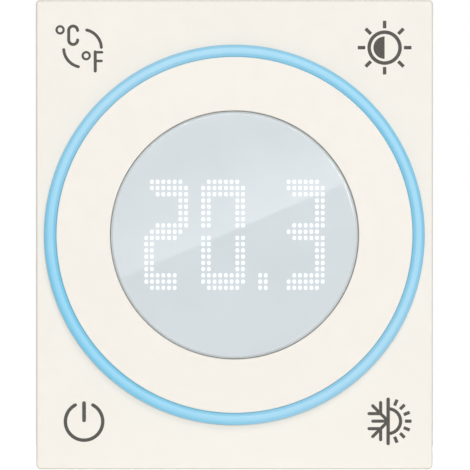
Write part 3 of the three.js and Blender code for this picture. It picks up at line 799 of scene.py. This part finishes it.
def build_dots():
    """The lit dots of the reading, each a small rounded tile at the front of the window."""
    column_pitch, row_pitch = 0.642 * MM, 0.7035 * MM
    dot_width, dot_height, dot_corner = 0.41 * MM, 0.47 * MM, 0.17 * MM
    reading_z = 0.02 * MM
    front, back = lens_low.y - 0.012 * MM, lens_low.y + 0.01 * MM
    shape = bmesh.new()
    for glyph, first_column in READING:
        for row, line in enumerate(GLYPHS[glyph]):
            for column, mark in enumerate(line):
                if mark != "#":
                    continue
                x = (first_column + column - (COLUMNS - 1) / 2) * column_pitch
                z = ((ROWS - 1) / 2 - row) * row_pitch + reading_z
                outline = rectangle(dot_width, dot_height, dot_corner, (x, z), 4)
                top = [shape.verts.new((u, front, v)) for u, v in outline]
                bottom = [shape.verts.new((u, back, v)) for u, v in outline]
                shape.faces.new(top)
                shape.faces.new(bottom[::-1])
                for index in range(len(outline)):
                    shape.faces.new((top[index - 1], bottom[index - 1], bottom[index], top[index]))
    piece(object_from_bmesh("display_dots", shape), "lit_dots", "insert")


# ---------------------------------------------------------------- chassis and housing

def frame_slab(name, width, height, corner, front, back, frame_wall):
    """A rectangular frame between two Y planes, its inner corners tighter than its outer ones."""
    inner_corner = corner - 0.4 * MM
    hole = rectangle(width - 2 * frame_wall, height - 2 * frame_wall, inner_corner)
    return slab(name, rectangle(width, height, corner), front, back, holes=[hole])


def build_chassis():
    """The frame behind the cover: shoulder, locating rim, neck, board posts, bosses and latches."""
    thickness, edge_radius = 1.5 * MM, 0.12 * MM
    width = shoulder_high.x - shoulder_low.x
    height = shoulder_high.z - shoulder_low.z
    outline = rectangle(width, height, corner_radius)
    chassis = slab("chassis_frame", outline, -thickness, 0, edge_radius)
    rim_front, rim_wall, rim_play = -3 * MM, 1 * MM, 0.3 * MM
    rim_width = plate_width - 2 * wall - rim_play
    rim_height = plate_height - 2 * wall - rim_play
    neck_front, neck_back = -0.3 * MM, shoulder_high.y
    joined(
        chassis,
        frame_slab("rim", rim_width, rim_height, cavity_corner, rim_front, -thickness / 2, rim_wall),
        frame_slab("neck", body_width, body_height, body_corner, neck_front, neck_back, wall))

    post_x, post_z, post_radius = 13 * MM, 15.5 * MM, 1.6 * MM
    board_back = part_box("front_board")[1].y + gap
    for x in (-post_x, post_x):
        for z in (-post_z, post_z):
            joined(chassis, rod("post", (x, board_back, z), (x, overlap - thickness, z), post_radius))
    boss_radius, pilot_radius, pilot_front = 2.6 * MM, 1.1 * MM, 1 * MM
    boss_back = neck_back - 0.02 * MM
    for place in long_screws:
        x, z = place.x, place.z
        joined(chassis, rod("boss", (x, -overlap, z), (x, boss_back, z), boss_radius))
        cut(chassis, rod("pilot", (x, pilot_front, z), (x, neck_back + past, z), pilot_radius))
    room = 0.5 * MM
    for node in ("encoder_body", "board_header"):
        low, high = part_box(node)
        cut(chassis, box("opening", (low.x - room, -thickness - past, low.z - room),
                         (high.x + room, past, high.z + room)))

    latch_x, latch_width, latch_height = 8.5 * MM, 7 * MM, 1.1 * MM
    catch, latch_land = 2.1 * MM, 0.7 * MM
    slit_width, slit_front, slit_reach = 0.8 * MM, 0.8 * MM, 3 * MM
    for x in (-latch_x, latch_x):
        for side in (-1, 1):
            z = side * body_height / 2
            root, top = z - side * overlap, z + side * latch_height
            wedge = [(catch, root), (catch, top), (catch + latch_land, top), (neck_back, root)]
            latch = slab("latch", wedge, x - latch_width / 2, x + latch_width / 2)
            joined(chassis, swapped(latch, 0, 1))
            for edge in (-1, 1):
                middle = x + edge * (latch_width + slit_width) / 2
                cut(chassis, box("slit", (middle - slit_width / 2, slit_front, z - slit_reach),
                                 (middle + slit_width / 2, neck_back + past, z + slit_reach)))
    softened(chassis, 0.1 * MM)
    piece(chassis, "white_plastic", "insert", ["chassis"])


def build_housing():
    """The deep box: screw columns, board rests and terminal banks inside, wells and vents outside."""
    front, back = housing_low.y, housing_high.y
    board_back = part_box("main_board")[1].y
    edge_radius, inner_corner = 0.35 * MM, 0.8 * MM
    outline = rectangle(body_width, body_height, body_corner)
    shell = slab("housing_shell", outline, front, back, edge_radius)
    inside = rectangle(body_width - 2 * wall, body_height - 2 * wall, inner_corner)
    cut(shell, slab("cavity", inside, front - past, back - wall))
    column_radius = 2.9 * MM
    for place in long_screws:
        x, z = place.x, place.z
        joined(shell, rod("column", (x, front, z), (x, back - overlap, z), column_radius))
    rest_inner, rest_half_height, rest_back = 18.4 * MM, 8 * MM, back - 1 * MM
    bank_inner, bank_half_width = 10.4 * MM, 14.2 * MM
    bank_front, bank_back = board_back + 0.4 * MM, back - 0.9 * MM
    for side in (-1, 1):
        low, high = sorted((side * rest_inner, side * (body_width / 2 - overlap)))
        joined(shell, box("board_rest", (low, board_back + gap, -rest_half_height),
                          (high, rest_back, rest_half_height)))
        low, high = sorted((side * bank_inner, side * (body_height / 2 - overlap)))
        joined(shell, box("bank", (-bank_half_width, bank_front, low),
                          (bank_half_width, bank_back, high)))

    chamber_half, chamber_inner, chamber_outer = 3.3 * MM, 11.2 * MM, 20.3 * MM
    driver_radius, driver_inner = 2.1 * MM, 20 * MM
    wire_radius, wire_z, wire_front = 1.8 * MM, 14.1 * MM, back - 2 * MM
    for place in terminals.values():
        x, y = place.x, place.y
        end = 1 if place.z > 0 else -1
        low, high = sorted((end * chamber_inner, end * chamber_outer))
        cut(shell, box("chamber", (x - chamber_half, board_back, low),
                       (x + chamber_half, back - wall, high)))
        outside = end * (body_height / 2 + past)
        cut(shell, rod("driver_hole", (x, y, end * driver_inner), (x, y, outside), driver_radius))
        z = end * wire_z
        cut(shell, rod("wire_entry", (x, wire_front, z), (x, back + past, z), wire_radius))
    well_front, well_radius, passage_radius = 12 * MM, 2.15 * MM, 1.3 * MM
    for place in long_screws:
        x, z = place.x, place.z
        cut(shell, rod("well", (x, well_front, z), (x, back + past, z), well_radius))
        cut(shell, rod("passage", (x, front - past, z), (x, well_front + past, z), passage_radius))

    vent_height, vent_middle, vent_pitch = 14 * MM, 12 * MM, 2.6 * MM
    for side in (-1, 1):
        for row in range(-2, 3):
            place = (vent_middle + row * vent_pitch, 0)
            opening = rectangle(vent_opening, vent_height, vent_corner, place)
            cut(shell, vent_tool(opening, side * body_width / 2, 0))
    bed_width, bed_height, bed_corner, bed = 24 * MM, 9 * MM, 0.6 * MM, back - 0.15 * MM
    bed_outline = rectangle(bed_width, bed_height, bed_corner)
    cut(shell, slab("label_recess", bed_outline, bed, back + past))
    softened(shell, 0.12 * MM)
    piece(shell, "housing_grey", "insert", ["rear_housing"])
    label_play, label_corner, label_face = 0.6 * MM, 0.5 * MM, back - 0.05 * MM
    label_outline = rectangle(bed_width - label_play, bed_height - label_play, label_corner)
    label = slab("blank_label", label_outline, bed, label_face)
    piece(label, "white_plastic", "insert")


DIGITS = {
    1: [[(0, -1), (0, 1)]],
    2: [[(-1, 1), (1, 1), (1, 0), (-1, 0), (-1, -1), (1, -1)]],
    3: [[(-1, 1), (1, 1), (1, -1), (-1, -1)], [(-0.8, 0), (0.9, 0)]],
    4: [[(-1, 1), (-1, 0), (0.9, 0)], [(1, 1), (1, -1)]],
    5: [[(1, 1), (-1, 1), (-1, 0), (1, 0), (1, -1), (-1, -1)]],
    6: [[(1, 1), (-1, 1), (-1, -0.9)], [(-0.9, 0), (1, 0), (1, -1), (-0.9, -1)]],
}


def build_terminal_numbers():
    """Small raised numbers inward of the wire entries, drawn in millimetres, to be read from behind."""
    half_width, half_height, stroke = 0.45, 0.8, 0.28
    from_middle = 9.6
    sunk, raised = housing_high.y - 0.05 * MM, housing_high.y + 0.12 * MM
    for number, lines in DIGITS.items():
        middle = terminals[number].x
        end = 1 if terminals[number].z > 0 else -1

        def to_metres(points):
            return [(middle - x * MM, (end * from_middle + z) * MM) for x, z in points]

        strokes = [([(x * half_width, z * half_height) for x, z in line], stroke) for line in lines]
        digit = marks(to_metres, sunk, raised, strokes=strokes)
        digit.name = f"terminal_number_{number}"
        piece(digit, "housing_grey", "insert")


# ---------------------------------------------------------------- screws

def screw(name, head_radius, head_height, crown, shank_radius, length, slot_length):
    """A crossed-slot screw along Y: the head's top at the origin, the shank towards -Y.

    `crown` is the width of the slope round the head's edge.
    """
    slot_width, slot_depth = 0.5 * MM, 0.65 * MM
    body = revolved(name, filleted([
        (0, 0, 0), (head_radius - crown, 0, crown / 2), (head_radius, -crown, crown / 2),
        (head_radius, -head_height, 0.06 * MM),
        (shank_radius, -head_height, 0), (shank_radius, -length, 0.2 * MM), (0, -length, 0),
    ]), 64)
    for wide, tall in ((slot_length, slot_width), (slot_width, slot_length)):
        cut(body, box("slot", (-wide / 2, -slot_depth, -tall / 2), (wide / 2, past, tall / 2)))
    return body


def build_screws():
    head_radius = 1.9 * MM
    for number, middle in enumerate(long_screws, 1):
        node = f"housing_screw_{number}"
        low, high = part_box(node)
        body = screw(f"pan_head_{number}", head_radius, head_height=1.3 * MM, crown=0.6 * MM,
                     shank_radius=1 * MM, length=high.y - low.y, slot_length=2.2 * MM)
        body.data.transform(Matrix.Translation((middle.x, high.y, middle.z)))
        piece(body, "steel", "insert", [node])
    for number, middle in terminals.items():
        node = f"terminal_screw_{number}"
        low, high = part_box(node)
        end = 1 if middle.z > 0 else -1
        top = high.z if end > 0 else low.z
        body = screw(f"clamp_screw_{number}", head_radius, head_height=1.4 * MM, crown=0.2 * MM,
                     shank_radius=1.25 * MM, length=high.z - low.z, slot_length=3 * MM)
        turn = Matrix.Rotation(end * math.radians(90), 4, "X")
        body.data.transform(Matrix.Translation((middle.x, middle.y, top)) @ turn)
        piece(body, "plated_steel", f"screw_{number}", [node])


# ---------------------------------------------------------------- what keeps its CAD shape

def dress_cad_nodes():
    slots = {row["node"]: row["material_slot"] for row in frame["record"]["subparts"]}
    for name, node in frame["nodes"].items():
        if node.hide_render:
            continue
        node.data.materials.clear()
        node.data.materials.append(finishes[slots[name]])
        node.data.shade_smooth()
        node.data.set_sharp_from_angle(angle=smooth_below)


def add_floor():
    """A pale floor that ends just behind the body, so that the plate's edges mirror no horizon.

    It looks white to the camera but sends less light back up on to the plate.
    """
    half_width, front, back = 0.28, -0.28, 0.04
    level = plate_low.z - gap
    shape = bmesh.new()
    places = [(-half_width, front), (half_width, front), (half_width, back), (-half_width, back)]
    shape.faces.new([shape.verts.new((x, y, level)) for x, y in places])
    floor = object_from_bmesh("floor", shape)
    finish = Finish("pale_floor", 0.7)
    cloud = finish.noise(0.2, 2)
    finish.colour(finish.blended(cloud, srgb(234, 234, 234), srgb(238, 238, 238)))
    finish.glow(finish.blended(cloud, srgb(246, 246, 246), srgb(250, 250, 250)), 0)
    path = finish.nodes.new("ShaderNodeLightPath")
    finish.links.new(path.outputs["Is Camera Ray"], finish.shader.inputs["Emission Strength"])
    floor.data.materials.append(finish.material)


add_camera()
add_world()
add_lights()
add_floor()
build_cover()
build_symbols()
build_dial()
build_window()
build_dots()
build_chassis()
build_housing()
build_terminal_numbers()
build_screws()
dress_cad_nodes()
